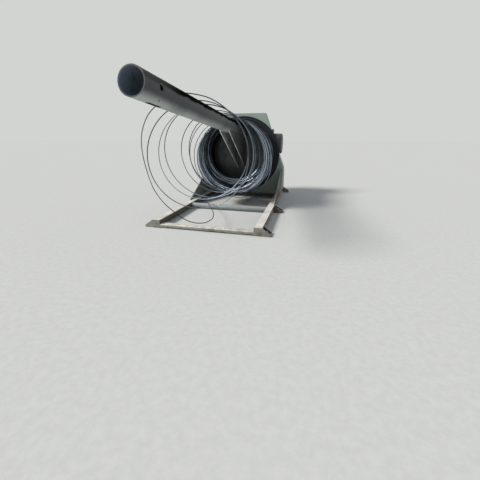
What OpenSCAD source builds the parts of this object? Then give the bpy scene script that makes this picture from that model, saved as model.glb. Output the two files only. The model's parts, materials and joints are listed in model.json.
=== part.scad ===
// Horizontal wire take-up block with a nose pipe, from a steel wire drawing line.
// The drum winds the drawn wire. Its turns slide off the front edge of the drum
// and gather as a coil that hangs on the long pipe.
// X runs to the right, Y to the rear, Z up. The origin lies on the floor, at the
// centre of the anchor holes in the four outer feet. The pieces are drawn from the
// front bar's front face, and placed() moves them to the origin.

/* [Base frame] */
// Width over the outer edges of the two rails
frame_w = 1136; // [1080:1:1240]
// Length of the rails
rail_l = 2300; // [2290:1:2500]
// Width of a rail
rail_w = 80; // [60:1:100]
// Height of a rail
rail_h = 66; // [64:1:90]
// Wall of a rail
rail_wall = 6; // [4:0.5:8]
// Inner radius of the bends of rails and bars
bend_r = 6; // [3:0.5:8]
// Depth of the front and rear bars
bar_d = 80; // [60:1:100]
// Height of the front and rear bars
bar_h = 28; // [24:1:40]
// Height of the front and rear bars above the floor
bar_lift = 12; // [6:1:24]
// Wall of the front and rear bars
bar_wall = 5; // [3:0.5:8]
// Diameter of the tie pipe between the rails
tie_d = 60; // [34:1:64]
// Wall of the tie pipe
tie_wall = 4; // [2:0.5:6]
// Distance of the tie pipe's axis behind the front bar's front face
tie_y = 845; // [600:1:1100]

/* [Feet] */
// How far an outer foot reaches beyond the rail
foot_reach = 84; // [70:1:120]
// How far a middle foot reaches beyond the rail
middle_foot_reach = 112; // [70:1:140]
// Length of a foot along the rail
foot_l = 80; // [70:1:120]
// Thickness of a foot's base plate
foot_plate_t = 16; // [10:1:20]
// Thickness of a foot's ribs
rib_t = 8; // [5:0.5:12]
// Height of the short upright end of a foot's rib
rib_nose = 6; // [3:1:15]
// Diameter of an anchor hole
anchor_d = 22; // [14:1:26]
// Distance of the middle feet before the gussets' front ends
middle_foot_lead = 69; // [0:1:300]

/* [Side gussets] */
// Length of a gusset
gusset_l = 748; // [500:1:800]
// Height of a gusset's rear edge above the rail
gusset_h = 365; // [250:1:450]
// Height of a gusset's short front edge
gusset_nose = 8; // [4:1:40]
// Thickness of a gusset
gusset_t = 10; // [6:0.5:16]

/* [Upright housing] */
// Depth of the housing over its front and rear plates
housing_d = 150; // [130:1:180]
// Height of the housing's top above the floor
housing_top = 1230; // [1100:1:1300]
// Height above the floor at which the housing's sides start to lean in
shoulder_z = 464; // [400:1:560]
// Width of the housing at that height
shoulder_w = 1188; // [1140:1:1260]
// Width of the housing's top
housing_top_w = 616; // [500:1:800]
// Thickness of the housing's plates
plate_t = 10; // [6:0.5:14]

/* [Lower box] */
// Distance of the lower box before the rear ends of the rails
rear_clear = 85; // [80:1:120]
// Length of the lower box behind the upright housing
box_l = 378; // [330:1:400]
// Height of the lower box above the rails
box_h = 303; // [240:1:360]
// Thickness of the lower box's plates
box_t = 8; // [5:0.5:12]
// Width of the cover on the box's rear
cover_w = 640; // [400:1:800]
// Height of the cover on the box's rear
cover_h = 210; // [120:1:210]
// Thickness of the cover
cover_t = 6; // [4:0.5:10]
// Corner radius of the cover
cover_r = 20; // [8:1:40]

/* [Drive] */
// Width of the gearbox
gear_w = 300; // [260:1:360]
// Height of the gearbox above the lower box
gear_h = 540; // [480:1:560]
// Length of the gearbox along the machine
gear_l = 300; // [260:1:320]
// Gap between the upright housing and the gearbox
gear_gap = 20; // [10:1:25]
// Radius of the gearbox's round edges
gear_r = 45; // [20:1:60]
// How far the gearbox's foot reaches beyond its sides
gear_foot = 40; // [20:1:60]
// Thickness of the gearbox's foot
gear_foot_t = 24; // [14:1:30]
// Height of the motor's axis above the drum's axis
motor_rise = 149; // [120:1:160]
// Radius of the motor over its cooling fins
motor_r = 150; // [110:1:160]
// Depth of the motor's cooling fins
fin_h = 16; // [8:1:22]
// Thickness of a cooling fin
fin_t = 4; // [3:0.5:6]
// Number of cooling fins
fin_n = 36; // [20:1:40]
// Length of the finned part of the motor
motor_l = 240; // [160:1:260]
// Length of the neck between gearbox and motor
neck_l = 46; // [30:1:60]
// Radius of that neck
neck_r = 110; // [80:1:120]
// Thickness of the motor's front flange
motor_flange_t = 14; // [8:1:20]
// Length of the fan cover
fan_l = 84; // [60:1:110]
// Wall of the fan cover
fan_wall = 3; // [2:0.5:5]
// Corner radius of the fan cover
fan_edge = 22; // [12:1:30]
// Number of slots in the fan cover
fan_slots = 16; // [8:1:20]
// Length of the terminal box
term_l = 130; // [90:1:140]
// Height of the terminal box above the motor's core
term_h = 80; // [60:1:100]

/* [Shaft and bearing] */
// Height of the drum's axis above the floor
axis_z = 655; // [645:1:670]
// Diameter of the fixed shaft that carries the nose
shaft_d = 120; // [90:1:140]
// Wall of the drum's hub around the fixed shaft
hub_wall = 30; // [18:1:40]
// Length of the drum's hub inside the gearbox
hub_tail = 180; // [120:1:200]
// Wall of the bearing housing around the hub
bearing_wall = 50; // [30:1:60]
// How far the bearing housing reaches into the housing
bearing_l = 90; // [60:1:95]
// Width of the bearing flange's rim beyond the bearing housing
bearing_rim = 50; // [30:1:70]
// Thickness of the bearing flange
bearing_flange_t = 22; // [14:1:26]
// Gap between the drum's hub and the housing's rear plate
hub_gap = 8; // [5:1:20]
// Radius of the flange that anchors the shaft at the rear
anchor_flange_r = 130; // [100:1:160]
// Thickness of that flange
anchor_flange_t = 24; // [16:1:40]
// How far the shaft stands out behind that flange
shaft_tail = 20; // [5:1:40]

/* [Drum] */
// Outer radius of the drum's barrel
barrel_r = 432; // [426:1:450]
// Wall of the barrel
barrel_wall = 10; // [6:0.5:12]
// Length of the barrel
barrel_l = 228; // [200:1:240]
// Length of the tapered front edge of the barrel
barrel_taper_l = 40; // [20:1:60]
// Drop of the tapered front edge
barrel_taper = 5; // [2:0.5:5]
// Outer radius of the drum's rear flange
flange_r = 534; // [510:1:552]
// Thickness of the rear flange
flange_t = 12; // [8:1:16]
// Radius of the rolled rim of the rear flange
flange_rim = 9; // [8:0.5:11]
// Gap between the bearing flange and the drum's rear flange
drum_gap = 13; // [12:1:20]
// Number of ribs inside the drum
drum_ribs = 8; // [4:1:12]
// Thickness of a rib inside the drum
drum_rib_t = 8; // [5:0.5:12]

/* [Nose] */
// Gap between the edge of the fixed disc and the barrel around it
disc_edge = 8; // [5:0.5:10]
// Thickness of the disc
disc_t = 12; // [8:1:16]
// Gap between the disc and the ribs behind it
disc_gap = 8; // [5:1:12]
// Distance of the disc's front face behind the drum's front edge
disc_inset = 148; // [100:1:150]
// Outer diameter of the nose pipe
pipe_d = 168; // [140:1:180]
// Wall of the nose pipe
pipe_wall = 7; // [5:0.5:12]
// Length of the nose pipe, from the disc to the centre of its mouth
pipe_l = 2553; // [2200:1:2700]
// Upward slope of the nose pipe, in degrees
pipe_slope = 4.75; // [3:0.25:6]
// Gap between the pipe's top and the barrel's front edge
pipe_clear = 6; // [5:0.5:12]
// Diameter of the hole for the stop bar, in the pipe's right wall
stop_hole_d = 44; // [20:1:60]
// Distance of the stop bar's hole from the mouth
stop_hole_s = 172; // [120:1:400]
// Height of the stop bar's hole above the pipe's axis
stop_hole_rise = 6; // [0:1:40]
// Width of the slot in the underside of the pipe
slot_w = 30; // [12:1:50]
// Length of that slot
slot_l = 158; // [80:1:240]
// Distance of that slot from the mouth
slot_s = 132; // [40:1:150]
// Distance between the middles of the two braces
brace_gap = 106; // [60:1:120]
// Thickness of a brace
brace_t = 10; // [6:0.5:16]
// Distance of the braces' front ends before the disc
brace_l = 850; // [600:1:1100]
// Distance of the braces' lower ends below the drum's axis
brace_drop = 190; // [120:1:260]

/* [Wire] */
// Radius of the wire
wire_r = 4; // [2:0.5:6]
// Inner radius of the hanging coil
coil_in_r = 420; // [408:1:450]
// Radial thickness of the hanging coil
coil_t = 68; // [60:1:100]
// Length of the hanging coil along the pipe
coil_l = 320; // [200:1:340]
// Distance of the hanging coil before the disc, along the pipe
coil_s = 172; // [168:1:210]
// Radius of the bundles that the coil's surface shows
bundle_r = 15; // [10:1:18]
// Number of wire turns side by side on the drum
drum_turns = 20; // [6:1:22]
// Layers of wire on the drum
drum_layers = 3; // [2:1:4]

/* [Hidden] */
$fn = 96;

// Radial running clearance of the hub on the shaft and in the bearing
run_fit = 0.05;
// Gap between a hanging turn and the pipe that carries it
hang_gap = 0.3;
// Gap between the terminal box and the fins that it sits on
seat_gap = 0.05;
// Extra length by which a cutting shape passes a face
cut = 5;

// Derived places
rail_out = frame_w / 2;
rail_in = rail_out - rail_w;
rail_z = foot_plate_t;
rail_top = rail_z + rail_h;
housing_y = rail_l - rear_clear - box_l - housing_d;
housing_back = housing_y + housing_d;
gusset_y = housing_y - gusset_l;
middle_foot_y = gusset_y - middle_foot_lead;
box_back = housing_back + box_l;
box_top_z = rail_top + box_h;
gear_y = housing_back + gear_gap;
gear_back = gear_y + gear_l;
motor_x = gear_w / 2 + neck_l;
motor_z = axis_z + motor_rise;
shaft_r = shaft_d / 2;
hub_r = shaft_r + run_fit + hub_wall;
bearing_r = hub_r + run_fit + bearing_wall;
flange_back = housing_y - bearing_flange_t - drum_gap;
flange_front = flange_back - flange_t;
barrel_front = flange_front - barrel_l;
disc_front = barrel_front + disc_inset;
disc_back = disc_front + disc_t;
rib_front = disc_back + disc_gap;
disc_r = barrel_r - barrel_wall - disc_edge;
pipe_r = pipe_d / 2;
pipe_root_z = axis_z + barrel_r - barrel_wall - pipe_clear
    - disc_inset * tan(pipe_slope) - pipe_r / cos(pipe_slope);

// Moves a piece from the front bar's front face to the origin
module placed() {
    translate([0, -rail_l / 2, 0]) children();
}

// Height of the pipe's axis at a place along the machine
function pipe_z(y) = pipe_root_z + (disc_front - y) * tan(pipe_slope);

// Centre of a wire that lies across the top of the pipe at a place
function over_pipe(y) = [0, y, pipe_z(y) + pipe_r / cos(pipe_slope) + hang_gap + wire_r];

// Loose turns: distance before the disc, radius, turn about the vertical, lean
front_turns = [
    [1960, 478, -19, 1], [1632, 453, 0, -11], [1557, 442, -4, -3], [1496, 464, -5, 7]
];
rear_turns = [
    [1247, 446, -12, 6], [1130, 442, -18, 7], [1000, 455, -14, 3], [860, 470, -10, 2],
    [710, 460, -6, 0]
];

// A flat outline with its Y as height, stretched from y0 to y1
module along_y(y0, y1) {
    translate([0, y1, 0]) rotate([90, 0, 0]) linear_extrude(y1 - y0) children();
}

// An outline whose X runs to the rear and whose Y is height, stretched from x0 to x1
module along_x(x0, x1) {
    translate([x0, 0, 0]) rotate([90, 0, 90]) linear_extrude(x1 - x0) children();
}

// An outline of radius and place along Y, turned about the drum's axis
module about_axis() {
    translate([0, 0, axis_z]) rotate([-90, 0, 0]) rotate_extrude() children();
}

// Places children on the pipe's axis, with their Z towards the mouth and their Y up
module on_pipe() {
    translate([0, disc_front, pipe_root_z]) rotate([90 - pipe_slope, 0, 0]) children();
}

module mirrored(side) {
    if (side < 0) mirror([1, 0, 0]) children();
    else children();
}

// A flat shape with two round corners on its left, at x = 0
module round_left(w, h, r) {
    translate([r, 0]) square([w - r, h]);
    translate([0, r]) square([r, h - 2 * r]);
    translate([r, r]) circle(r);
    translate([r, h - r]) circle(r);
}

// Section of a bent channel with its web at x = 0 and its flanges towards +x
module channel_section(w, h, wall) {
    difference() {
        round_left(w, h, bend_r + wall);
        translate([wall, wall]) round_left(w, h - 2 * wall, bend_r);
    }
}

module rail(side) {
    color("#8f9a93") mirrored(side) along_y(rib_t, rail_l - rib_t)
        translate([rail_in, rail_z]) channel_section(rail_w, rail_h, rail_wall);
}

// A bar between the rails, with its web on top and its flanges down
module cross_bar(y) {
    color("#8f9a93") along_x(-rail_in, rail_in)
        translate([y, bar_lift + bar_h]) rotate(-90)
            channel_section(bar_h, bar_d, bar_wall);
}

module tie_pipe() {
    color("#9aa5a8") along_x(-rail_in, rail_in)
        translate([tie_y, rail_z + tie_d / 2]) difference() {
            circle(d = tie_d);
            circle(d = tie_d - 2 * tie_wall);
        }
}

// Base plate with an anchor hole between two ribs that lean against the rail.
// At the ends of the rails the outer rib also closes the rail.
module foot(side, y, capped_rib, beyond = foot_reach) {
    reach = rail_w + beyond;
    color("#8f9a93") mirrored(side) translate([rail_in, y, 0]) {
        difference() {
            cube([reach, foot_l, foot_plate_t]);
            translate([rail_w + beyond / 2, foot_l / 2, -cut])
                cylinder(d = anchor_d, h = foot_plate_t + 2 * cut);
        }
        for (rib = [0, 1]) {
            rib_y = rib * (foot_l - rib_t);
            inner = rib == capped_rib ? 0 : rail_w;
            along_y(rib_y, rib_y + rib_t) polygon([
                [inner, foot_plate_t], [reach, foot_plate_t],
                [reach, foot_plate_t + rib_nose], [rail_w, rail_top], [inner, rail_top]
            ]);
        }
    }
}

module gusset(side) {
    color("#93a099") mirrored(side) along_x(rail_out - gusset_t, rail_out) polygon([
        [gusset_y, rail_top], [housing_y, rail_top],
        [housing_y, rail_top + gusset_h], [gusset_y, rail_top + gusset_nose]
    ]);
}

// Outline of the housing seen from the front, from the lower left corner on
housing_outline = [
    [-rail_out, rail_top], [rail_out, rail_top], [shoulder_w / 2, shoulder_z],
    [housing_top_w / 2, housing_top], [-housing_top_w / 2, housing_top],
    [-shoulder_w / 2, shoulder_z]
];
housing_sides = len(housing_outline);

function corner(i) = housing_outline[i % housing_sides];
function unit(v) = v / norm(v);
function inward(i) = let (e = unit(corner(i + 1) - corner(i))) [-e[1], e[0]];

// The corner of the housing's inside that faces an outer corner
function inner_corner(i) =
    let (a = inward(i + housing_sides - 1), b = inward(i))
    corner(i) + plate_t * (a + b) / (1 + a * b);

// One plate of the housing's wall, with mitred edges
module wall_plate(i) {
    color("#97a59d") along_y(housing_y + plate_t, housing_back - plate_t)
        polygon([corner(i), corner(i + 1), inner_corner(i + 1), inner_corner(i)]);
}

module end_plate(y, hole_r) {
    color("#a3b1a9") along_y(y, y + plate_t) difference() {
        polygon(housing_outline);
        translate([0, axis_z]) circle(hole_r);
    }
}

module box_side(side) {
    color("#8c9991") mirrored(side) translate([rail_out - box_t, housing_back, rail_top])
        cube([box_t, box_l, box_h]);
}

module box_top() {
    color("#8c9991") translate([-rail_out + box_t, housing_back, box_top_z - box_t])
        cube([2 * (rail_out - box_t), box_l, box_t]);
}

module box_rear() {
    color("#8c9991") translate([-rail_out + box_t, box_back - box_t, rail_top])
        cube([2 * (rail_out - box_t), box_t, box_h - box_t]);
}

// A flat shape with four round corners around the origin
module round_plate(w, h, r) {
    square([w, h - 2 * r], center = true);
    square([w - 2 * r, h], center = true);
    for (x = [-1, 1], y = [-1, 1])
        translate([x * (w / 2 - r), y * (h / 2 - r)]) circle(r);
}

module rear_cover() {
    color("#808d86") along_y(box_back, box_back + cover_t)
        translate([0, rail_top + box_h / 2]) round_plate(cover_w, cover_h, cover_r);
}

// Cast gearbox on a foot, bored for the drum's hub and for the fixed shaft
module gearbox() {
    color("#68746f") difference() {
        union() {
            along_y(gear_y, gear_back) translate([0, box_top_z + gear_h / 2])
                round_plate(gear_w, gear_h, gear_r);
            translate([-gear_w / 2 - gear_foot, gear_y, box_top_z])
                cube([gear_w + 2 * gear_foot, gear_l, gear_foot_t]);
            translate([-gear_w / 2 - gear_foot_t, 0, 0]) side_cap();
        }
        about_axis() translate([0, gear_y - cut])
            square([hub_r + run_fit, hub_tail + cut + hub_gap]);
        about_axis() translate([0, gear_y]) square([shaft_r, gear_l + cut]);
    }
}

// Round bearing cap on the gearbox's left side, in line with the motor
module side_cap() {
    translate([0, gear_y + gear_l / 2, motor_z]) rotate([0, 90, 0])
        cylinder(r = neck_r, h = gear_foot_t + cut);
}

// Places children at the motor's end of the gearbox, with their Z along the motor
module on_motor(x) {
    translate([x, gear_y + gear_l / 2, motor_z]) rotate([0, 90, 0]) children();
}

// Neck, front flange and finned body of the motor
module motor() {
    core = motor_r - fin_h;
    color("#5f6b68") {
        on_motor(gear_w / 2) cylinder(r = neck_r, h = neck_l);
        on_motor(motor_x) cylinder(r = motor_r, h = motor_flange_t);
        on_motor(motor_x + motor_flange_t) linear_extrude(motor_l) {
            circle(core);
            for (i = [0 : fin_n - 1]) rotate(360 * i / fin_n)
                translate([0, -fin_t / 2]) square([motor_r, fin_t]);
        }
    }
}

// Pressed fan cover with a round edge and slots in its end
module fan_cover() {
    inside = motor_r - fan_wall;
    color("#55605e") on_motor(motor_x + motor_flange_t + motor_l) difference() {
        rotate_extrude() {
            difference() {
                round_end(motor_r, fan_l, fan_edge);
                round_end(inside, fan_l - fan_wall, fan_edge - fan_wall);
            }
        }
        for (i = [0 : fan_slots - 1]) rotate(360 * i / fan_slots)
            translate([motor_r / 4, -fin_t, fan_l - 2 * fan_wall])
                cube([motor_r / 2, 2 * fin_t, 3 * fan_wall]);
    }
}

// Half section of a disc with a round outer edge at its far end
module round_end(r, h, edge) {
    square([r, h - edge]);
    square([r - edge, h]);
    translate([r - edge, h - edge]) intersection() {
        circle(edge);
        square(edge);
    }
}

// Box on the motor's top, cut to the motor's round core
module terminal_box() {
    core = motor_r - fin_h;
    color("#5f6b68") difference() {
        translate([motor_x + motor_flange_t + (motor_l - term_l) / 2,
            gear_y + (gear_l - term_l) / 2, motor_z])
            cube([term_l, term_l, core + term_h]);
        on_motor(motor_x)
            cylinder(r = motor_r + seat_gap, h = motor_l + 2 * motor_flange_t);
    }
}

module bearing_housing() {
    color("#6f7a78") about_axis() polygon([
        [hub_r + run_fit, housing_y - bearing_flange_t],
        [bearing_r + bearing_rim, housing_y - bearing_flange_t],
        [bearing_r + bearing_rim, housing_y],
        [bearing_r, housing_y],
        [bearing_r, housing_y + bearing_l],
        [hub_r + run_fit, housing_y + bearing_l]
    ]);
}

module shaft_flange() {
    color("#6f7a78") about_axis() translate([shaft_r, gear_back])
        square([anchor_flange_r - shaft_r, anchor_flange_t]);
}

module nose_shaft() {
    color("#7d8587") about_axis() translate([0, disc_front])
        square([shaft_r, gear_back + anchor_flange_t + shaft_tail - disc_front]);
}

module nose_disc() {
    color("#8a9892") about_axis() translate([shaft_r, disc_front])
        square([disc_r - shaft_r, disc_t]);
}

// Slot with round ends along the pipe, cut through its underside
module slot_cut() {
    run = slot_l - slot_w;
    translate([0, 0, pipe_l - slot_s - slot_w / 2]) rotate([90, 0, 0]) {
        cylinder(d = slot_w, h = pipe_r + cut);
        translate([0, -run, 0]) cylinder(d = slot_w, h = pipe_r + cut);
        translate([-slot_w / 2, -run, 0]) cube([slot_w, run, pipe_r + cut]);
    }
}

module nose_pipe() {
    color("#7f8c87") difference() {
        on_pipe() translate([0, 0, -pipe_r]) cylinder(r = pipe_r, h = pipe_l + pipe_r);
        on_pipe() {
            translate([0, 0, -2 * pipe_r])
                cylinder(r = pipe_r - pipe_wall, h = pipe_l + 2 * pipe_r + cut);
            translate([0, stop_hole_rise, pipe_l - stop_hole_s]) rotate([0, 90, 0])
                cylinder(d = stop_hole_d, h = pipe_r + cut);
            slot_cut();
        }
        translate([-pipe_d, disc_front, pipe_root_z - pipe_d])
            cube([2 * pipe_d, 2 * pipe_d, 2 * pipe_d]);
    }
}

// Web plate under the pipe, cut to the pipe's round underside
module brace(side) {
    front = disc_front - brace_l;
    middle = side * brace_gap / 2;
    color("#93a19a") difference() {
        along_x(middle - brace_t / 2, middle + brace_t / 2) polygon([
            [front, pipe_z(front)], [front, pipe_z(front) - pipe_r / cos(pipe_slope)],
            [disc_front, axis_z - brace_drop], [disc_front, pipe_z(disc_front)]
        ]);
        on_pipe() translate([0, 0, -pipe_r]) cylinder(r = pipe_r, h = pipe_l);
    }
}

module drum_hub() {
    color("#5f6a6b") about_axis() translate([shaft_r + run_fit, rib_front])
        square([hub_wall, gear_y + hub_tail - rib_front]);
}

// Flat disc with a rolled rim
module drum_flange() {
    color("#3f474b") about_axis() {
        translate([hub_r, flange_front]) square([flange_r - flange_rim - hub_r, flange_t]);
        translate([flange_r - flange_rim, flange_front + flange_t / 2]) circle(flange_rim);
    }
}

// Open cylinder with a tapered front edge, from which the turns slide off
module drum_barrel() {
    inside = barrel_r - barrel_wall;
    color("#59636a") about_axis() polygon([
        [inside, barrel_front], [barrel_r - barrel_taper, barrel_front],
        [barrel_r, barrel_front + barrel_taper_l], [barrel_r, flange_front],
        [inside, flange_front]
    ]);
}

// Radial ribs between the hub and the barrel, before the flange
module drum_rib_set() {
    inside = barrel_r - barrel_wall;
    color("#59636a") for (i = [0 : drum_ribs - 1])
        translate([0, 0, axis_z]) rotate([0, 360 * i / drum_ribs, 0])
            translate([-drum_rib_t / 2, rib_front, 0])
                intersection() {
                    translate([0, 0, hub_r]) cube([drum_rib_t, flange_front - rib_front,
                        inside - hub_r]);
                    translate([drum_rib_t / 2, 0, 0]) rotate([-90, 0, 0])
                        cylinder(r = inside, h = flange_front - rib_front);
                }
}

// Turns wound on the drum in layers, each layer one turn shorter than the one below.
// Only the turns on the outside of the winding are drawn round, a little fuller than the
// wire, so that neighbours join.
module drum_wire() {
    pitch = 2 * wire_r;
    rise = wire_r * sqrt(3);
    full_r = wire_r * 1.04;
    first = barrel_r + hang_gap + full_r;
    top = drum_layers - 1;
    last = flange_front - cut - full_r;
    color("#6d7c88") about_axis() {
        for (k = [0 : top])
            translate([first - full_r, last - (drum_turns - 1 - k) * pitch - k * wire_r])
                square([full_r + k * rise, (drum_turns - 1 - k) * pitch]);
        for (k = [0 : top - 1])
            translate([first + k * rise, last - (drum_turns - 1 - k) * pitch - k * wire_r])
                circle(full_r, $fn = 24);
        for (i = [0 : drum_turns - 1 - top])
            translate([first + top * rise, last - i * pitch - top * wire_r])
                circle(full_r, $fn = 24);
    }
}

// Bundles of turns around a solid core, seen in the coil's section
module coil_section() {
    step = bundle_r * 1.7;
    long = ceil((coil_l - 2 * bundle_r) / step);
    deep = ceil((coil_t - 2 * bundle_r) / step);
    dl = (coil_l - 2 * bundle_r) / long;
    dt = (coil_t - 2 * bundle_r) / deep;
    translate([coil_in_r + bundle_r, bundle_r]) {
        square([coil_t - 2 * bundle_r, coil_l - 2 * bundle_r]);
        for (i = [0 : long], x = [0, coil_t - 2 * bundle_r])
            translate([x, i * dl]) circle(bundle_r, $fn = 32);
        for (j = [1 : deep - 1], y = [0, coil_l - 2 * bundle_r])
            translate([j * dt, y]) circle(bundle_r, $fn = 32);
    }
}

module hanging_coil() {
    color("#5f6f7d") on_pipe() translate([0, pipe_r + hang_gap - coil_in_r, coil_s])
        rotate_extrude() coil_section();
}

// A round turn of wire that hangs over the pipe
module loose_turn(turn) {
    translate(over_pipe(disc_front - turn[0])) rotate([turn[3], 0, turn[2]])
        translate([0, 0, -turn[1]]) rotate([90, 0, 0])
            rotate_extrude() translate([turn[1], 0]) circle(wire_r, $fn = 24);
}

module loops(turns) {
    color("#6f808f") for (turn = turns) loose_turn(turn);
}

placed() rail(-1);  // left_rail
placed() rail(1);  // right_rail
placed() cross_bar(0);  // front_bar
placed() tie_pipe();
placed() cross_bar(rail_l - bar_d);  // rear_bar
placed() foot(-1, 0, 0);  // left_front_foot
placed() foot(1, 0, 0);  // right_front_foot
placed() foot(-1, middle_foot_y, -1, middle_foot_reach);  // left_middle_foot
placed() foot(1, middle_foot_y, -1, middle_foot_reach);  // right_middle_foot
placed() foot(-1, rail_l - foot_l, 1);  // left_rear_foot
placed() foot(1, rail_l - foot_l, 1);  // right_rear_foot
placed() gusset(-1);  // left_gusset
placed() gusset(1);  // right_gusset
placed() end_plate(housing_y, bearing_r);  // housing_front
placed() end_plate(housing_back - plate_t, hub_r + hub_gap);  // housing_rear
placed() wall_plate(0);  // housing_floor
placed() wall_plate(1);  // housing_right_side
placed() wall_plate(2);  // housing_right_slope
placed() wall_plate(3);  // housing_top_plate
placed() wall_plate(4);  // housing_left_slope
placed() wall_plate(5);  // housing_left_side
placed() box_side(-1);  // box_left_side
placed() box_side(1);  // box_right_side
placed() box_top();
placed() box_rear();
placed() rear_cover();
placed() bearing_housing();
placed() gearbox();
placed() motor();
placed() fan_cover();
placed() terminal_box();
placed() shaft_flange();
placed() nose_shaft();
placed() nose_disc();
placed() nose_pipe();
placed() brace(-1);  // left_brace
placed() brace(1);  // right_brace
placed() drum_hub();
placed() drum_flange();
placed() drum_barrel();
placed() drum_rib_set();
placed() drum_wire();
placed() hanging_coil();
placed() loops(front_turns);  // front_loops
placed() loops(rear_turns);  // rear_loops
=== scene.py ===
"""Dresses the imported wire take-up block: wire, welds, fasteners, paint, light and camera.

Lengths are in metres, in the part's own frame: X to the right, Y to the rear, Z up, with the
origin on the floor between the four outer feet.
"""

import json
import math
import random

import bpy
import numpy as np
from mathutils import Matrix, Vector


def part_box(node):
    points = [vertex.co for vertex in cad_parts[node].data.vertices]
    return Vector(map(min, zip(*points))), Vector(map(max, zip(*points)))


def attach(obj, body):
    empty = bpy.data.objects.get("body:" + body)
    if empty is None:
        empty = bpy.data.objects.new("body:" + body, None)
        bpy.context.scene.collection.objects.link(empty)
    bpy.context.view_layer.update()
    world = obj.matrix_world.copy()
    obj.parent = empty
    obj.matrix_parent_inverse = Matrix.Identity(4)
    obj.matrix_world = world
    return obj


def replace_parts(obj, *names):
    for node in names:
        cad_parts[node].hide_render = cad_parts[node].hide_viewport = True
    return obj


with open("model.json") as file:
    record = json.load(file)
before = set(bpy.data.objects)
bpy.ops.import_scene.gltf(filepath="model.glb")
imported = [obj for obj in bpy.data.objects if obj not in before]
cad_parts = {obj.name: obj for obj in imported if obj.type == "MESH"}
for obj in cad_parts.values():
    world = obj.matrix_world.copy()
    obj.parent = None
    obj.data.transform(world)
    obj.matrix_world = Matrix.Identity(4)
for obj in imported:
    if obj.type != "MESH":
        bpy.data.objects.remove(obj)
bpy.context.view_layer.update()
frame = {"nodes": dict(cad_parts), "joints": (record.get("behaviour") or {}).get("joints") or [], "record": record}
NODES = frame["nodes"]

X, Y, Z = range(3)


def lowest(node, axis):
    """A node's lowest place along an axis, to a hundredth of a millimetre."""
    return round(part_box(node)[0][axis], 5)


def highest(node, axis):
    """A node's highest place along an axis, to a hundredth of a millimetre."""
    return round(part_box(node)[1][axis], 5)


# Sizes that no node's box gives are repeated from the part's source.

# The base frame
FRONT_Y = lowest("front_bar", Y)
BAR_TOP = highest("front_bar", Z)
RAIL_IN = lowest("right_rail", X)
RAIL_OUT = highest("right_rail", X)
RAIL_Z = lowest("right_rail", Z)
RAIL_TOP = highest("right_rail", Z)
GUSSET_IN = lowest("right_gusset", X)
GUSSET_Y = lowest("right_gusset", Y)
GUSSET_TOP = highest("right_gusset", Z)
# Front end, rear end and outer side of each foot
FEET = [(lowest(foot, Y), highest(foot, Y), highest(foot, X))
        for foot in ("right_front_foot", "right_middle_foot", "right_rear_foot")]
RIB_T = 0.008

# The housing and its drive
AXIS_Z = frame["joints"][0]["pos_m"][Z]
HOUSING_Y = lowest("housing_front", Y)
BEARING_Y = lowest("bearing_housing", Y)
BOX_TOP = highest("box_top", Z)
COVER_Y = highest("rear_cover", Y)
COVER_Z = (lowest("rear_cover", Z) + highest("rear_cover", Z)) / 2
GEAR_Y = lowest("gearbox", Y)
GEAR_BACK = highest("gearbox", Y)
GEAR_FOOT_T = 0.024
SHAFT_FLANGE_Y = highest("shaft_flange", Y)
NECK_X = lowest("motor", X)
NECK_L = 0.046
MOTOR_Z = (lowest("motor", Z) + highest("motor", Z)) / 2
DRIVE_Y = (GEAR_Y + GEAR_BACK) / 2

# The nose pipe, its disc and its braces
DISC_FRONT = lowest("nose_disc", Y)
PIPE_R = highest("nose_pipe", X)
PIPE_WALL = 0.007
PIPE_L = 2.553
PIPE_SLOPE = math.radians(4.75)
PIPE_ROOT_Z = 0.97441
BRACE_IN = lowest("right_brace", X)
BRACE_OUT = highest("right_brace", X)
BRACE_Y = lowest("right_brace", Y)
BRACE_Z = lowest("right_brace", Z)

# The wire and the hanging coil: inner radius, thickness, distance from the disc, length
WIRE_R = 0.004
COIL_R = 0.420
COIL_T = 0.068
COIL_S = 0.172
COIL_L = 0.320
COIL_REAR = DISC_FRONT - COIL_S
COIL_FRONT = COIL_REAR - COIL_L

rng = random.Random(7)


def srgb(r, g, b):
    """A colour of 0 to 255 per channel as Blender's linear colour."""
    def linear(c):
        c /= 255
        return c / 12.92 if c <= 0.04045 else ((c + 0.055) / 1.055) ** 2.4

    return (linear(r), linear(g), linear(b), 1.0)


# Materials

# The finished ones by name
MATERIALS = {}


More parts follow.
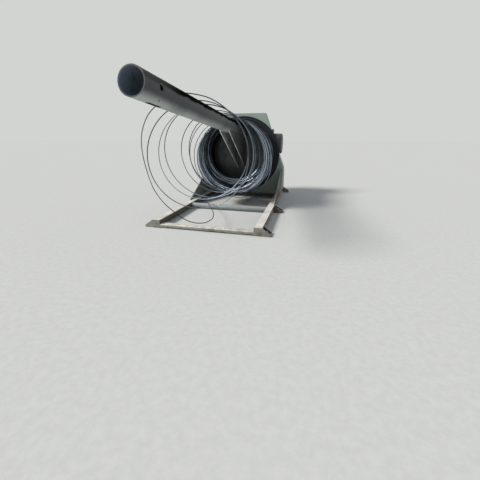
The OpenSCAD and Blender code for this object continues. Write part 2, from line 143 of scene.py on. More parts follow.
class Graph:
    """Short names for building a material's nodes."""

    def __init__(self, name):
        self.name = name
        self.material = bpy.data.materials.new(name)
        self.material.use_nodes = True
        self.tree = self.material.node_tree
        self.shader = self.tree.nodes["Principled BSDF"]
        self.position = self.add("ShaderNodeTexCoord").outputs["Object"]

    def add(self, kind, **settings):
        node = self.tree.nodes.new(kind)
        for key, value in settings.items():
            setattr(node, key, value)
        return node

    def link(self, source, target):
        self.tree.links.new(source, target)

    def put(self, target, value):
        """A socket takes another's value, or a constant."""
        if isinstance(value, bpy.types.NodeSocket):
            self.link(value, target)
        else:
            target.default_value = value

    def math(self, operation, a, b=0.0, clamp=False):
        node = self.add("ShaderNodeMath", operation=operation, use_clamp=clamp)
        self.put(node.inputs[0], a)
        self.put(node.inputs[1], b)
        return node.outputs[0]

    def plus(self, a, b):
        return self.math("ADD", a, b)

    def minus(self, a, b):
        return self.math("SUBTRACT", a, b)

    def times(self, a, b):
        return self.math("MULTIPLY", a, b)

    def most(self, a, b):
        return self.math("MAXIMUM", a, b)

    def noise(self, scale, detail, stretch=(1, 1, 1), rough=0.5, offset=(0, 0, 0)):
        """Cloudy values from 0 to 1 over the part's own frame."""
        place = self.add("ShaderNodeMapping")
        place.inputs["Scale"].default_value = stretch
        place.inputs["Location"].default_value = offset
        self.link(self.position, place.inputs["Vector"])
        node = self.add("ShaderNodeTexNoise")
        node.inputs["Scale"].default_value = scale
        node.inputs["Detail"].default_value = detail
        node.inputs["Roughness"].default_value = rough
        self.link(place.outputs[0], node.inputs["Vector"])
        return node.outputs[0]

    def ramp(self, value, low, high, to_low=0.0, to_high=1.0):
        """Maps low..high smoothly to to_low..to_high."""
        node = self.add("ShaderNodeMapRange", interpolation_type="SMOOTHSTEP")
        self.put(node.inputs["Value"], value)
        node.inputs["From Min"].default_value = low
        node.inputs["From Max"].default_value = high
        node.inputs["To Min"].default_value = to_low
        node.inputs["To Max"].default_value = to_high
        return node.outputs[0]

    def mix(self, share, a, b):
        node = self.add("ShaderNodeMix", data_type="RGBA")
        self.put(node.inputs["Factor"], share)
        self.put(node.inputs["A"], a)
        self.put(node.inputs["B"], b)
        return node.outputs["Result"]

    def cover(self, colour, over, mask, share):
        """A colour with another laid over it where mask is 1, as thick as share."""
        return self.mix(self.times(mask, share), colour, over)

    def part(self, vector, axis):
        node = self.add("ShaderNodeSeparateXYZ")
        self.link(vector, node.inputs[0])
        return node.outputs[axis]

    def place(self, axis):
        """Where a point lies along X, Y or Z, in metres."""
        return self.part(self.position, axis)

    def normal(self):
        return self.add("ShaderNodeNewGeometry").outputs["Normal"]

    def upward(self):
        """1 on faces that look up, 0 on upright ones, -1 underneath."""
        return self.part(self.normal(), Z)

    def sideways(self):
        """1 on faces that look left or right."""
        return self.math("ABSOLUTE", self.part(self.normal(), X))

    def length(self, a, b):
        """How far two steps at right angles lead."""
        return self.math("SQRT", self.plus(self.times(a, a), self.times(b, b)))

    def from_axis(self):
        """The distance from the drum's axis."""
        return self.length(self.place(X), self.minus(self.place(Z), AXIS_Z))

    def near_to(self, place, far, close):
        """1 within close of a place, 0 beyond far."""
        node = self.add("ShaderNodeVectorMath", operation="DISTANCE")
        self.link(self.position, node.inputs[0])
        node.inputs[1].default_value = place
        return self.ramp(node.outputs["Value"], far, close)

    def edges(self, radius):
        """Near 1 at sharp edges, from the difference between rounded and true normals."""
        soft = self.add("ShaderNodeBevel", samples=4)
        soft.inputs["Radius"].default_value = radius
        dot = self.add("ShaderNodeVectorMath", operation="DOT_PRODUCT")
        self.link(soft.outputs[0], dot.inputs[0])
        self.link(self.normal(), dot.inputs[1])
        return self.ramp(dot.outputs["Value"], 0.985, 0.80)

    def hollows(self, distance):
        """Near 1 on faces that other faces of the same piece close in."""
        node = self.add("ShaderNodeAmbientOcclusion", samples=8, only_local=True)
        node.inputs["Distance"].default_value = distance
        return self.ramp(node.outputs["AO"], 0.85, 0.55)

    def rust(self, fine):
        """Rust in two tones."""
        return self.mix(self.ramp(fine, 0.4, 0.6), RUST_DARK, RUST)

    def bump(self, height, strength, distance):
        node = self.add("ShaderNodeBump")
        node.inputs["Strength"].default_value = strength
        node.inputs["Distance"].default_value = distance
        self.link(height, node.inputs["Height"])
        self.link(node.outputs[0], self.shader.inputs["Normal"])

    def finish(self, colour, rough, metallic=0.0):
        """Joins the last sockets to the shader and files the material by its name."""
        self.put(self.shader.inputs["Base Color"], colour)
        self.put(self.shader.inputs["Roughness"], rough)
        self.put(self.shader.inputs["Metallic"], metallic)
        MATERIALS[self.name] = self.material


RUST = srgb(110, 74, 52)
RUST_DARK = srgb(72, 50, 40)
DUST = srgb(196, 186, 168)
# Pale dust that also paints light on the frame's tops
PALE_DUST_AND_TOP_LIGHT = srgb(246, 239, 229)
# Colours of painted shade: on faces at the sides, and in hollows
SIDE_SHADE = srgb(46, 44, 39)
HOLLOW_SHADE = srgb(14, 13, 12)


def darkened(paint, share):
    """A paint's colour with a share of its light."""
    return tuple(c * share for c in paint[:3]) + (1.0,)


def worn_paint(name, paint, dust, rust, streaks=0.3, dust_colour=DUST, side_shade=0.0,
               side_shade_colour=SIDE_SHADE, shaded=0.0, hollow_shade=0.0):
    """Grey-green machine paint: cloudy, dusty on top, chipped at edges, rusty near the floor.

    The options after dust_colour add painted shade: on faces at the sides, towards the floor and between ribs.
    """
    g = Graph(name)
    cloudy = g.noise(3.5, 5.0)
    fine = g.noise(70.0, 6.0, rough=0.65)
    runs = g.noise(14.0, 4.0, stretch=(1, 1, 0.08))
    darker = darkened(paint, 0.62)
    colour = g.cover(paint, darker, g.ramp(cloudy, 0.35, 0.72), 0.5)
    colour = g.cover(colour, darker, g.ramp(runs, 0.52, 0.75), streaks)
    colour = g.cover(colour, darker, g.ramp(fine, 0.45, 0.75), 0.25)
    # painted shade on the long faces at the sides, in patches
    if side_shade:
        shaded_sides = g.times(g.ramp(g.sideways(), 0.6, 0.9), g.ramp(cloudy, 0.2, 0.6, 0.75, 1.0))
        colour = g.cover(colour, side_shade_colour, shaded_sides, side_shade)
    # painted shade: darker towards the floor
    if shaded:
        colour = g.mix(g.ramp(g.place(Z), 0.75, 0.15, 0.0, shaded), colour, darker)
    # dust lies on faces that look up, thicker in patches; the frame's pale dust colour also paints light on its
    # tops
    lying = g.times(g.ramp(g.upward(), 0.35, 0.9), g.ramp(cloudy, 0.25, 0.6, 0.55, 1.0))
    colour = g.cover(colour, dust_colour, lying, dust)
    # rust: near the floor, on edges and in a few spots
    patch = g.noise(22.0, 7.0, rough=0.7, offset=(3, 1, 2))
    low = g.times(g.ramp(g.place(Z), 0.10, 0.0), g.ramp(patch, 0.42, 0.60))
    worn = g.times(g.edges(0.004), g.ramp(patch, 0.45, 0.62))
    bare = g.most(g.most(worn, g.ramp(patch, 0.70, 0.76)), low)
    colour = g.cover(colour, g.rust(fine), bare, rust)
    # painted shade, near black, where the piece's own faces close in
    if hollow_shade:
        colour = g.cover(colour, HOLLOW_SHADE, g.hollows(0.12), hollow_shade)
    g.bump(g.plus(g.times(fine, 0.4), g.times(bare, -0.6)), 0.25, 0.002)
    dull = g.times(g.most(lying, bare), 0.25)
    g.finish(colour, g.math("ADD", g.ramp(fine, 0.3, 0.7, 0.42, 0.60), dull, clamp=True))


def pipe_spot(degrees, back):
    """A point of the pipe's right side, degrees over the horizontal and back from the mouth."""
    a = math.radians(degrees)
    up, along = PIPE_R * math.sin(a), PIPE_L - back
    return (PIPE_R * math.cos(a),
            DISC_FRONT - along * math.cos(PIPE_SLOPE) + up * math.sin(PIPE_SLOPE),
            PIPE_ROOT_Z + along * math.sin(PIPE_SLOPE) + up * math.cos(PIPE_SLOPE))


def rubbed_top(g, mouth):
    """Where the wire has rubbed the pipe's top, and where it has scuffed the paint beside that.

    The rubbed band is faint at the mouth and narrower at the drum.
    """
    strong = g.ramp(g.place(Y), mouth + 0.05, mouth + 0.5, 0.45, 1.0)
    reach = g.ramp(g.place(Y), DISC_FRONT - 1.2, DISC_FRONT - 0.4, 0.08, 0.0)
    waves = g.minus(g.noise(7.0, 7.0, rough=0.7), 0.5)
    ragged = g.plus(g.plus(g.upward(), reach), g.times(waves, 0.9))
    scuffs = g.ramp(g.noise(15.0, 6.0, rough=0.7), 0.48, 0.62)
    return (g.times(g.ramp(ragged, 0.22, 0.42), strong),
            g.times(g.ramp(ragged, -0.15, 0.2), scuffs))


def pipe_bore(g, cloudy, patch):
    """Which points lie inside the pipe, by their distance from its axis, and their colour."""
    rise = math.tan(PIPE_SLOPE)
    axis = g.plus(g.times(g.place(Y), -rise), PIPE_ROOT_Z + DISC_FRONT * rise)
    off = g.times(g.minus(g.place(Z), axis), math.cos(PIPE_SLOPE))
    inside = g.math("LESS_THAN", g.length(g.place(X), off), PIPE_R - PIPE_WALL + 0.0006)
    bore = g.mix(g.ramp(cloudy, 0.4, 0.7), srgb(116, 128, 142), srgb(92, 102, 114))
    return inside, g.cover(bore, RUST_DARK, g.ramp(patch, 0.55, 0.65), 0.6)


def nose_paint(name):
    """The pipe: painted, rubbed dark along its top by the wire, with painted shade on its sides and in a dent, and
    dark inside.
    """
    g = Graph(name)
    # The third colour is for the painted shade on the sides
    paint, shade, pipe_side_shade = srgb(176, 183, 180), srgb(150, 157, 154), srgb(70, 72, 74)
    mouth = DISC_FRONT - PIPE_L
    along = g.noise(26.0, 5.0, stretch=(1, 0.05, 1), rough=0.6)
    cloudy = g.noise(4.0, 5.0)
    fine = g.noise(90.0, 5.0, rough=0.65)
    patch = g.noise(30.0, 7.0, rough=0.7, offset=(5, 2, 1))
    colour = g.mix(g.ramp(cloudy, 0.35, 0.7), paint, shade)
    colour = g.cover(colour, shade, g.ramp(along, 0.5, 0.72), 0.30)
    # painted shade darkens the sides, leaving the underside light as painted light from the floor, most of all
    # near the mouth
    facing_shade = g.plus(g.upward(), g.times(g.minus(cloudy, 0.5), 0.25))
    near = g.ramp(g.place(Y), mouth, DISC_FRONT, 1.0, 0.66)
    colour = g.cover(colour, pipe_side_shade, g.ramp(facing_shade, -1.06, -0.42), near)
    # the wire's marks
    rub, scuffed = rubbed_top(g, mouth)
    colour = g.cover(colour, srgb(74, 73, 68), scuffed, 0.55)
    worn = g.mix(g.ramp(along, 0.4, 0.65), srgb(16, 15, 13), srgb(34, 31, 28))
    colour = g.mix(rub, colour, worn)
    # rust in chips and along the edges
    worn_edges = g.times(g.edges(0.003), g.ramp(patch, 0.42, 0.6))
    chips = g.most(g.ramp(patch, 0.72, 0.76), worn_edges)
    colour = g.cover(colour, g.rust(fine), chips, 0.7)
    # painted shade of a dent on the right side, and rust at the rim
    dent = g.near_to(pipe_spot(-52, 0.19), 0.009, 0.005)
    rim = g.times(g.near_to(pipe_spot(55, 0.0), 0.040, 0.016), g.ramp(patch, 0.40, 0.52))
    colour = g.cover(colour, srgb(30, 32, 34), dent, 0.8)
    colour = g.cover(colour, srgb(112, 96, 84), rim, 0.7)
    inside, bore = pipe_bore(g, cloudy, patch)
    colour = g.mix(inside, colour, bore)
    gloss = g.mix(rub, g.ramp(fine, 0.3, 0.7, 0.48, 0.64), g.ramp(along, 0.3, 0.7, 0.60, 0.80))
    g.put(g.shader.inputs["Specular IOR Level"], g.ramp(rub, 0.0, 1.0, 0.30, 0.0))
    g.bump(g.plus(g.times(along, 0.5), g.times(fine, 0.25)), 0.2, 0.002)
    g.finish(colour, gloss)


def brace_paint(name, light, dark):
    """Web plates: painted shade on their sides and a painted highlight on their narrow edges."""
    g = Graph(name)
    cloudy = g.noise(8.0, 6.0, rough=0.6)
    fine = g.noise(90.0, 5.0, rough=0.65)
    side = g.mix(g.ramp(cloudy, 0.35, 0.7), light, dark)
    lit_edge = g.mix(g.ramp(cloudy, 0.45, 0.75), srgb(232, 236, 230), srgb(178, 184, 178))
    # painted highlight on the narrow edges, painted shade on the sides
    colour = g.mix(g.ramp(g.sideways(), 0.8, 0.5), side, lit_edge)
    chips = g.ramp(g.noise(34.0, 7.0, rough=0.7), 0.64, 0.70)
    colour = g.cover(colour, RUST_DARK, chips, 0.6)
    g.bump(fine, 0.2, 0.0015)
    g.finish(colour, g.ramp(fine, 0.3, 0.7, 0.45, 0.62))


def disc_paint(name):
    """The fixed disc: painted, with rings scraped by wire ends, and painted shade round its border and over its
    lower part.
    """
    g = Graph(name)
    cloudy = g.noise(6.0, 6.0, rough=0.6)
    fine = g.noise(80.0, 5.0, rough=0.65)
    colour = g.mix(g.ramp(cloudy, 0.35, 0.7), srgb(108, 117, 112), srgb(78, 86, 83))
    radius = g.plus(g.from_axis(), g.times(cloudy, 0.03))
    # painted shade round the border
    colour = g.cover(colour, srgb(38, 42, 44), g.ramp(radius, 0.355, 0.395), 0.85)
    rings = g.add("ShaderNodeTexNoise", noise_dimensions="1D")
    rings.inputs["Scale"].default_value = 60.0
    rings.inputs["Detail"].default_value = 3.0
    g.link(radius, rings.inputs["W"])
    scraped = g.times(g.ramp(rings.outputs[0], 0.60, 0.66), g.ramp(cloudy, 0.42, 0.55))
    colour = g.cover(colour, srgb(58, 62, 62), scraped, 0.6)
    # painted shade: darker over the lower part
    colour = g.cover(colour, srgb(24, 28, 30), g.ramp(g.place(Z), 0.66, 0.36), 0.85)
    g.bump(g.plus(fine, g.times(scraped, -0.5)), 0.2, 0.0015)
    g.finish(colour, g.ramp(fine, 0.3, 0.7, 0.42, 0.6))


def cast_paint(name, paint, dusty=0.4):
    """Painted casting with a sandy surface, oil and dust."""
    g = Graph(name)
    sand = g.noise(160.0, 4.0, rough=0.6)
    cloudy = g.noise(6.0, 5.0)
    darker = darkened(paint, 0.5)
    colour = g.mix(g.ramp(cloudy, 0.4, 0.72), paint, darker)
    colour = g.cover(colour, srgb(120, 120, 112), g.edges(0.004), 0.5)
    lying = g.times(g.ramp(g.upward(), 0.3, 0.9), g.ramp(cloudy, 0.3, 0.6, 0.5, 1.0))
    colour = g.cover(colour, DUST, lying, dusty)
    oil = g.ramp(g.noise(9.0, 5.0, offset=(1, 4, 2)), 0.52, 0.66)
    colour = g.cover(colour, darker, oil, 0.4)
    g.bump(g.plus(sand, g.times(cloudy, 0.4)), 0.35, 0.0015)
    g.finish(colour, g.minus(g.ramp(sand, 0.3, 0.7, 0.46, 0.62), g.times(oil, 0.2)))


def drawn_steel(name, base, bright, rough=0.34, by_strand=False):
    """Drawn wire: dark scale with lubricant, rubbed bright in places or strand by strand; by strand it also gets
    painted shade towards the coil's top.
    """
    g = Graph(name)
    patch = g.noise(11.0, 4.0, rough=0.6)
    fine = g.noise(240.0, 3.0)
    if by_strand:
        tone = g.add("ShaderNodeAttribute", attribute_name="tone").outputs["Fac"]
        patch = g.plus(g.times(patch, 0.30), g.times(tone, 0.70))
        # painted shade: darker towards the coil's top; also darker at its lowest turns
        patch = g.times(patch, g.ramp(g.place(Z), 0.35, 1.05, 1.08, 0.72))
        patch = g.times(patch, g.ramp(g.place(Z), 0.18, 0.36, 0.62, 1.0))
    colour = g.mix(g.ramp(patch, 0.20, 0.85), base, bright)
    rust = g.ramp(g.noise(40.0, 3.0, offset=(2, 2, 2)), 0.62, 0.74)
    colour = g.cover(colour, RUST_DARK, rust, 0.45)
    g.bump(fine, 0.12, 0.0005)
    g.finish(colour, g.ramp(fine, 0.3, 0.7, rough - 0.06, rough + 0.10), 0.85)


def turned_iron(name, base, bright, rough, metallic):
    """Machined iron with fine rings round the drum's axis."""
    g = Graph(name)
    grooves = g.add("ShaderNodeCombineXYZ")
    g.link(g.times(g.from_axis(), 9.0), grooves.inputs[0])
    g.link(g.times(g.place(Y), 9.0), grooves.inputs[1])
    rings = g.add("ShaderNodeTexNoise")
    rings.inputs["Scale"].default_value = 26.0
    g.link(grooves.outputs[0], rings.inputs["Vector"])
    cloudy = g.noise(7.0, 5.0)
    colour = g.mix(g.ramp(rings.outputs[0], 0.42, 0.62), base, bright)
    colour = g.cover(colour, RUST_DARK, g.ramp(cloudy, 0.5, 0.7), 0.25)
    g.bump(rings.outputs[0], 0.15, 0.001)
    g.finish(colour, g.ramp(cloudy, 0.3, 0.7, rough - 0.08, rough + 0.15), metallic)


# The frame: pale dust with painted light on its tops, and painted shade on its sides
worn_paint("frame_paint", srgb(142, 148, 140), dust=0.95, rust=0.5, dust_colour=PALE_DUST_AND_TOP_LIGHT,
           side_shade=0.9)
# Feet: painted shade on their sides and between their ribs
worn_paint("foot_paint", srgb(134, 137, 128), dust=0.4, rust=0.8, side_shade=0.6, hollow_shade=0.95)
# A darker, shaded copy of the foot paint: painted shade on the right middle foot
worn_paint("shaded_foot_paint", srgb(84, 80, 71), dust=0.3, rust=0.8, side_shade=0.6, hollow_shade=0.95)
worn_paint("tie_paint", srgb(150, 160, 162), dust=0.35, rust=0.3, streaks=0.1)
worn_paint("gusset_paint", srgb(140, 148, 140), dust=0.4, rust=0.4)
# The right gusset's outer face: painted shade, brown as a painted reflection of the floor
worn_paint("right_gusset_shaded_paint", srgb(140, 146, 138), dust=0.4, rust=0.4, side_shade=1.0,
           side_shade_colour=srgb(76, 66, 58))
# The housing gets painted shade towards the floor
worn_paint("housing_paint", srgb(158, 172, 161), dust=0.35, rust=0.25, streaks=0.4, shaded=0.7)
worn_paint("box_paint", srgb(142, 154, 145), dust=0.6, rust=0.3, streaks=0.4)
worn_paint("weld_paint", srgb(124, 131, 124), dust=0.3, rust=0.5)
cast_paint("gear_paint", srgb(112, 122, 118))
cast_paint("motor_paint", srgb(66, 72, 70), dusty=0.3)
nose_paint("nose_paint")
# Lit and shaded copies: the left brace's sides are painted lighter than the right brace's
brace_paint("left_brace_lit_paint", srgb(184, 190, 184), srgb(136, 142, 138))
brace_paint("right_brace_shaded_paint", srgb(126, 132, 126), srgb(84, 90, 86))
disc_paint("disc_paint")
turned_iron("bare_shaft", srgb(120, 122, 122), srgb(170, 172, 172), rough=0.34, metallic=0.9)
turned_iron("drum_iron", srgb(28, 31, 36), srgb(52, 58, 64), rough=0.5, metallic=0.75)
drawn_steel("wire_steel", srgb(32, 39, 46), srgb(200, 214, 229), by_strand=True)
# A darker copy of the wire steel: painted shade on the wire on the drum
drawn_steel("drum_wire_shaded_steel", srgb(40, 47, 55), srgb(84, 94, 104), rough=0.40)
drawn_steel("bolt_steel", srgb(120, 116, 104), srgb(170, 166, 150), rough=0.42)

# Nodes that look different from the rest of their slot
OWN_MATERIALS = {
    "left_brace": "left_brace_lit_paint",
    "right_brace": "right_brace_shaded_paint",
    "nose_disc": "disc_paint",
    "drum_wire": "drum_wire_shaded_steel",
    "right_gusset": "right_gusset_shaded_paint",
    "right_middle_foot": "shaded_foot_paint",
}

for row in frame["record"]["subparts"]:
    node = NODES[row["node"]]
    node.data.materials.clear()
    node.data.materials.append(MATERIALS[OWN_MATERIALS.get(row["node"], row["material_slot"])])


# Mesh helpers


class Shape:
    """Collects the vertices and faces of one piece."""

    def __init__(self):
        self.verts, self.faces, self.flat, self.tones = [], [], [], []

    def add(self, verts, faces, flat=False, tones=None):
        first = len(self.verts)
        if tones is not None:
            self.tones.extend(float(t) for t in tones)
        self.verts.extend(tuple(float(c) for c in v) for v in verts)
        self.faces.extend(tuple(int(i) + first for i in f) for f in faces)
        self.flat.extend([flat] * len(faces))

    def build(self, name, material, body="base"):
        """Makes the piece and lets it ride on its body."""
        mesh = bpy.data.meshes.new(name)
        mesh.from_pydata(self.verts, [], self.faces)
        mesh.polygons.foreach_set("use_smooth", [not f for f in self.flat])
        mesh.materials.append(MATERIALS[material])
        if self.tones:
            tone = mesh.attributes.new("tone", "FLOAT", "POINT")
            tone.data.foreach_set("value", self.tones)
        mesh.update()
        piece = bpy.data.objects.new(name, mesh)
        bpy.context.scene.collection.objects.link(piece)
        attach(piece, body)
        return piece


def tube(shape, points, radius, sides, tones=None):
    """A round tube along points; radius may be one number or one for each point."""
    p = np.asarray(points, float)
    n = len(p)
    ahead = np.roll(p, -1, 0) - np.roll(p, 1, 0)
    ahead[0], ahead[-1] = p[1] - p[0], p[-1] - p[-2]
    ahead /= np.linalg.norm(ahead, axis=1)[:, None]
    side = np.cross(ahead[0], (0.0, 0.0, 1.0) if abs(ahead[0][2]) < 0.9 else (1.0, 0.0, 0.0))
    normals = np.empty_like(p)
    for i in range(n):
        side = side - ahead[i] * (side @ ahead[i])
        side /= np.linalg.norm(side)
        normals[i] = side
    other = np.cross(ahead, normals)
    angles = np.arange(sides) * 2 * math.pi / sides
    cos, sin = np.cos(angles)[None, :, None], np.sin(angles)[None, :, None]
    r = np.broadcast_to(np.asarray(radius, float), (n,))
    ring = normals[:, None] * cos + other[:, None] * sin
    verts = (p[:, None] + ring * r[:, None, None]).reshape(-1, 3)
    a = np.repeat(np.arange(n - 1), sides)
    k = np.tile(np.arange(sides), n - 1)
    b, m = a + 1, (k + 1) % sides
    faces = np.column_stack([a * sides + k, a * sides + m, b * sides + m, b * sides + k]).tolist()
    faces.append(list(range(sides))[::-1])
    faces.append([(n - 1) * sides + i for i in range(sides)])
    shape.add(verts, faces, tones=None if tones is None else np.repeat(tones, sides))


def turned_to(axis):
    """A rotation whose Z is axis."""
    return Vector(axis).to_track_quat("Z", "Y").to_matrix()


def lathe(shape, centre, axis, profile, sides=24, turn=0.0):
    """A body of (radius, height) pairs turned about axis; six sides make a hexagon."""
    rot = turned_to(axis)
    verts, faces = [], []
    for r, h in profile:
        for i in range(sides):
            a = turn + 2 * math.pi * i / sides
            verts.append(Vector(centre) + rot @ Vector((r * math.cos(a), r * math.sin(a), h)))
    for j in range(len(profile) - 1):
        for i in range(sides):
            k = (i + 1) % sides
            faces.append((j * sides + i, j * sides + k, (j + 1) * sides + k, (j + 1) * sides + i))
    faces.append(tuple(range(sides))[::-1])
    faces.append(tuple((len(profile) - 1) * sides + i for i in range(sides)))
    shape.add(verts, faces, flat=True)


def bolt(shape, place, axis, size, stud=0.0):
    """Washer and hexagon head, or with stud a nut on a threaded end."""
    place, axis = Vector(place), Vector(axis).normalized()
    washer, head = size * 0.16, size * 0.65
    lathe(shape, place, axis, [(size * 1.02, 0), (size * 1.1, washer * 0.4), (size * 1.08, washer)])
    turn = rng.uniform(0, math.pi / 3)
    across = size * 0.92
    lathe(shape, place + axis * washer, axis,
          [(across, 0), (across, head * 0.88), (across * 0.88, head)], sides=6, turn=turn)
    if stud:
        top = washer + head
        lathe(shape, place + axis * top, axis,
              [(size * 0.5, -0.001), (size * 0.5, stud * 0.85), (size * 0.42, stud)], sides=16)


def weld(shape, points, radius):
    """A bead with small ripples along a line of points."""
    step = 0.0035
    p = [Vector(q) for q in points]
    line = []
    for a, b in zip(p, p[1:]):
        count = max(2, int((b - a).length / step))
        line += [a.lerp(b, i / count) for i in range(count)]
    line.append(p[-1])
    radii = [radius * (0.9 + 0.16 * math.sin(i * 1.9) + rng.uniform(-0.08, 0.08))
             for i in range(len(line))]
    tube(shape, line, radii, sides=6)


# Wire

ALONG = np.array([0.0, -math.cos(PIPE_SLOPE), math.sin(PIPE_SLOPE)])
UP = np.array([0.0, math.sin(PIPE_SLOPE), math.cos(PIPE_SLOPE)])
RIGHT = np.array([1.0, 0.0, 0.0])
ROOT = np.array([0.0, DISC_FRONT, PIPE_ROOT_Z])
# Air between the pipe's top and the wires that cross it
HANG_GAP = 0.0004
# Points of a coiled turn and sides of a strand
SEGMENTS = 72
SIDES = 6
# Turns of the front bundle that lie inside the coil, and that swing forwards
STRAY = 28
FANNED = 36


def along_pipe(u, v, w):
    """Points u to the right of the pipe's axis and v over it, at distances w from the disc."""
    return ROOT + u * RIGHT + v * UP + np.outer(w, ALONG)


def pipe_top(y):
    """Height of a wire's middle that lies across the pipe's top."""
    axis = PIPE_ROOT_Z + (DISC_FRONT - y) * math.tan(PIPE_SLOPE)
    return axis + (PIPE_R + WIRE_R + HANG_GAP) / math.cos(PIPE_SLOPE)


def wound(turns, segments):
    """One wire through turns that hang over the pipe.

    A turn is (place along y, rise over the pipe, radius, yaw, lean, swing, sway). Each value
    changes into the next turn's over a full round, so it holds on both sides of a turn's top.
    """
    t = np.array(turns, float)
    x = np.arange((len(t) - 1) * segments + 1) / segments
    i = np.minimum(x.astype(int), len(t) - 2)
    share = x - i
    smooth = (share * share * (3 - 2 * share))[:, None]
    y, rise, r, yaw, lean, swing, sway = (t[i] + (t[i + 1] - t[i]) * smooth).T
    phi = 2 * math.pi * share
    low = (1 - np.cos(phi)) / 2
    r = r * (1 + low * (swing * np.cos(2 * phi) + sway * np.sin(3 * phi)))
    across, drop = r * np.sin(phi), r * (1 - np.cos(phi))
    top = pipe_top(y) + rise
    return np.column_stack([across, y + yaw * across - lean * drop, top - drop])


def strand_tones(count, segments, seed, bright):
    """A tone for each turn that drifts into the next one's; the last bright turns are lighter, as a painted
    highlight.
    """
    draw = random.Random(seed)
    tones = [draw.random() ** (1.6 if k < count - bright else 0.9) for k in range(count)]
    x = np.arange((count - 1) * segments + 1) / segments
    return np.interp(x, np.arange(count), tones)


def coil_turns(count, rear, front, seed, spread):
    """Turns of the hanging coil from rear to front: tight and thick behind, thin in front."""
    draw = random.Random(seed)
    turns = []
    for k in range(count):
        share = (k + 0.5) / count
        y = rear + (front - rear) * share + draw.gauss(0, 0.022) * spread
        y = min(max(y, COIL_FRONT - 0.01), COIL_REAR - WIRE_R)
        deep = min(1.0, (y - COIL_FRONT) / (COIL_REAR - COIL_FRONT))
        thick = COIL_T - 2 * WIRE_R
        rise = draw.random() * thick * (0.30 + 0.55 * deep)
        wide = draw.uniform(0.0, 0.85) * deep + draw.uniform(0.35, 1.0) * (1 - deep)
        turns.append((y, rise, COIL_R + WIRE_R + wide * thick,
                      draw.gauss(0, 0.028) * spread, 0.05 + draw.gauss(0, 0.028) * spread,
                      draw.gauss(0, 0.008), draw.gauss(0, 0.006)))
    return turns


def stray_turns(count, seed):
    """Tighter turns inside the coil, one by one."""
    draw = random.Random(seed + 50)
    places = COIL_FRONT + (COIL_L - 0.03) * np.linspace(0.0, 1.0, count) ** 0.7
    return [
        (y + draw.gauss(0, 0.01), draw.random() * 0.012, COIL_R - draw.uniform(0.002, 0.050),
         draw.gauss(0, 0.05), 0.04 + draw.gauss(0, 0.04),
         draw.gauss(0, 0.010), draw.gauss(0, 0.008))
        for y in places
    ]


def fanned_turns(count, seed):
    """Turns at the coil's front whose right sides swing forwards."""
    draw = random.Random(seed + 90)
    turns = []
    for _ in range(count):
        yaw = -draw.uniform(0.06, 0.42)
        # their left sides stay 0.10 m behind the coil's front
        y = COIL_FRONT + 0.10 + yaw * COIL_R + draw.gauss(0, 0.02)
        turns.append((y, draw.random() * 0.015, COIL_R + draw.uniform(0.004, 0.055), yaw,
                      0.03 + draw.gauss(0, 0.05), draw.gauss(0, 0.012), draw.gauss(0, 0.010)))
    return turns


def coil_bundle(part, count, rear, front, spread, seed):
    """One of the coil's bundles; the front one also has the stray and the fanned turns."""
    turns = coil_turns(count, rear, front, seed, spread)
    bright = 0
    if part == "front":
        turns += stray_turns(STRAY, seed) + fanned_turns(FANNED, seed)
        # the fanned turns get lighter tones: painted highlight
        bright = FANNED
    strands = Shape()
    tones = strand_tones(len(turns), SEGMENTS, seed, bright)
    tube(strands, wound(turns, SEGMENTS), WIRE_R, SIDES, tones)
    return strands.build("coil_wire_" + part, "wire_steel")


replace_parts(coil_bundle("rear", 64, COIL_REAR, COIL_REAR - 0.12, 0.8, 11), "hanging_coil")
coil_bundle("middle", 48, COIL_REAR - 0.06, COIL_FRONT + 0.05, 1.2, 12)
coil_bundle("front", 30, COIL_REAR - 0.10, COIL_FRONT, 1.7, 13)

# The loose turns before the coil, from the free end backwards: Y, radius, yaw, lean. Here and
# in the free end, Y counts from the front bar's front face.
LOOSE = [
    (-0.310, 0.490, 0.10, 0.00), (-0.056, 0.421, 0.19, 0.08), (0.107, 0.438, 0.18, 0.00),
    (0.120, 0.440, 0.15, -0.20), (0.415, 0.415, -0.03, -0.19), (0.568, 0.424, -0.13, -0.17),
    (0.709, 0.446, 0.00, -0.05), (0.930, 0.459, 0.03, 0.00), (1.030, 0.453, 0.01, 0.02),
    (1.060, 0.479, 0.03, 0.04), (1.080, 0.454, -0.06, 0.02), (1.190, 0.506, -0.36, -0.05),
    (1.100, 0.486, -0.10, 0.00), (1.110, 0.450, -0.05, 0.05),
]
# Points of the free end, which leaves the coil low on its left, bends back before the tie pipe
# and rises
FREE_END = [
    (-0.470, 1.200, 0.420), (-0.478, 1.100, 0.260), (-0.420, 0.980, 0.160),
    (-0.297, 0.800, 0.141), (-0.183, 0.600, 0.140), (-0.068, 0.400, 0.136),
    (0.024, 0.200, 0.128), (0.046, 0.100, 0.112), (0.016, 0.000, 0.098),
    (-0.054, -0.080, 0.112), (-0.136, -0.120, 0.147), (-0.215, -0.140, 0.206),
    (-0.329, -0.160, 0.309), (-0.421, -0.170, 0.447), (-0.471, -0.180, 0.628),
    (-0.482, -0.200, 0.787), (-0.443, -0.240, 0.930), (-0.349, -0.285, 1.062),
    (-0.235, -0.310, 1.145), (-0.120, -0.315, 1.198),
]


def smooth_line(points, step):
    """A curve through points, with about step between its own points."""
    p = np.asarray(points, float)
    p = np.vstack([2 * p[0] - p[1], p, 2 * p[-1] - p[-2]])
    out = []
    for a, b, c, d in zip(p, p[1:], p[2:], p[3:]):
        count = max(2, int(np.linalg.norm(c - b) / step))
        for k in range(count):
            t = k / count
            out.append(0.5 * (2 * b + (c - a) * t + (2 * a - 5 * b + 4 * c - d) * t * t
                              + (3 * b - a - 3 * c + d) * t**3))
    out.append(p[-2])
    return np.array(out)


